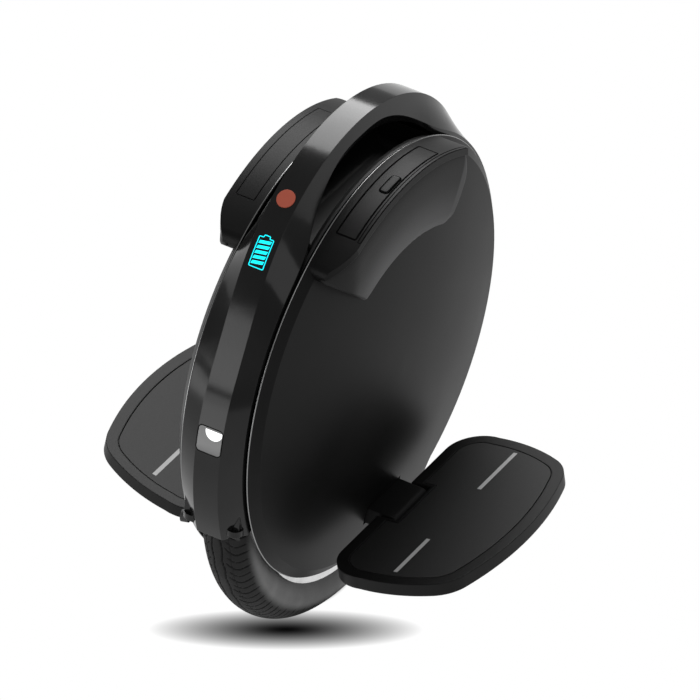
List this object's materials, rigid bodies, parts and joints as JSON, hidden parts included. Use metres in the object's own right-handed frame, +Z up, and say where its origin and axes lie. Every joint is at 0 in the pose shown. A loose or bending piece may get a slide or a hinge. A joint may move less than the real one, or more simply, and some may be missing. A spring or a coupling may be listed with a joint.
{
  "type": "electric unicycle",
  "caption": "Self-balancing single-wheel rider: hub-motor wheel in a round shell with a carry handle, pull-out trolley grip, knee pads and folding foot pedals.",
  "frame": {"origin": "on the ground, under the middle of the wheel", "axes": "+X forward towards the headlight, +Y to the rider's left, +Z up"},
  "size_m": [0.437, 0.397, 0.5115],
  "materials": {
    "spine_gloss": "glossy",
    "cover_satin": "fine satin",
    "frame_black": "satin",
    "well_black": "satin",
    "knee_foam": "soft matte",
    "tyre_rubber": "matte",
    "soft_rubber": "matte",
    "rim_alloy": "brushed",
    "bright_steel": "satin",
    "core_steel": "dull",
    "magnet_nickel": "plated",
    "copper_wire": "enamelled",
    "valve_brass": "bright",
    "lamp_clear": "clear",
    "lamp_white": "lit white",
    "lamp_red": "glossy",
    "dark_plastic": "matte",
    "board_green": "satin",
    "bar_cyan": "lit",
    "button_red": "satin",
    "lift_grey": "matte",
    "hanger_black": "fine powder coat",
    "grip_mat": "fine grip",
    "battery_wrap": "shrink wrap"
  },
  "bodies": {
    "shell": {"axle": "bright_steel", "axle_nuts": "bright_steel", "battery_lead": "soft_rubber", "battery_left": "battery_wrap", "battery_right": "battery_wrap", "charge_bars": "bar_cyan", "charge_socket": "dark_plastic", "controller_board": "board_green", "cover_left": "cover_satin", "cover_right": "cover_satin", "display_board": "board_green", "fender": "well_black", "finger_well": "well_black", "frame_plate_left": "frame_black", "frame_plate_right": "frame_black", "handle_spine": "spine_gloss", "hanger_bolts": "bright_steel", "hanger_left": "hanger_black", "hanger_right": "hanger_black", "headlight_housing": "dark_plastic", "headlight_lens": "lamp_clear", "headlight_projector": "lamp_white", "heat_sink": "rim_alloy", "inner_race_left": "bright_steel", "inner_race_right": "bright_steel", "knee_pad_left": "knee_foam", "knee_pad_right": "knee_foam", "motor_lead": "soft_rubber", "pedal_pin_left": "bright_steel", "pedal_pin_right": "bright_steel", "power_switch": "dark_plastic", "shelf_panel_right": "cover_satin", "stator_core": "core_steel", "stator_hub": "core_steel", "stator_windings": "copper_wire", "tail_light_board": "board_green", "tail_light_lens": "lamp_red", "trolley_rails": "bright_steel"},
    "wheel": {"tyre": "tyre_rubber", "inner_tube": "soft_rubber", "wheel_rim": "rim_alloy", "rotor_magnets": "magnet_nickel", "motor_cover_left": "rim_alloy", "motor_cover_right": "rim_alloy", "motor_cover_screws": "bright_steel", "outer_race_left": "bright_steel", "outer_race_right": "bright_steel", "valve_stem": "valve_brass"},
    "left_pedal": {"pedal_left": "hanger_black", "pedal_mat_left": "grip_mat"},
    "right_pedal": {"pedal_right": "hanger_black", "pedal_mat_right": "grip_mat"},
    "power_button": {"power_button": "button_red"},
    "lift_button": {"lift_button": "lift_grey"},
    "trolley_mid": {"trolley_mid_tubes": "bright_steel"},
    "trolley_top": {"trolley_rods": "bright_steel", "trolley_grip": "cover_satin"},
    "trolley_latch": {"trolley_latch": "cover_satin"},
    "charge_cap": {"charge_cap": "soft_rubber"}
  },
  "joints": [
    {"name": "wheel_spin", "type": "hinge", "parent": "shell", "child": "wheel", "pos_m": [0, 0, 0.2], "axis": [0, 1, 0], "continuous": true},
    {"name": "left_pedal_fold", "type": "hinge", "parent": "shell", "child": "left_pedal", "pos_m": [0, 0.075, 0.114], "axis": [1, 0, 0], "range_deg": [0, 74]},
    {"name": "right_pedal_fold", "type": "hinge", "parent": "shell", "child": "right_pedal", "pos_m": [0, -0.075, 0.114], "axis": [-1, 0, 0], "range_deg": [0, 74]},
    {"name": "power_button_press", "type": "slide", "parent": "shell", "child": "power_button", "axis": [-0.5432, 0, -0.8396], "range_m": [0, 0.0014], "stiffness_N_per_m": 700},
    {"name": "lift_button_press", "type": "slide", "parent": "shell", "child": "lift_button", "axis": [0, 0, 1], "range_m": [0, 0.0015], "stiffness_N_per_m": 700},
    {"name": "trolley_lower_slide", "type": "slide", "parent": "shell", "child": "trolley_mid", "axis": [0, 0, 1], "range_m": [0, 0.195]},
    {"name": "trolley_upper_slide", "type": "slide", "parent": "trolley_mid", "child": "trolley_top", "axis": [0, 0, 1], "range_m": [0, 0.2]},
    {"name": "trolley_latch_press", "type": "slide", "parent": "trolley_top", "child": "trolley_latch", "axis": [-0.0785, 0, -0.9969], "range_m": [0, 0.0018], "stiffness_N_per_m": 500},
    {"name": "charge_cap_hinge", "type": "hinge", "parent": "shell", "child": "charge_cap", "pos_m": [0.15072, -0.04853, 0.18536], "axis": [-0.4695, 0, -0.8829], "range_deg": [0, 100]}
  ]
}
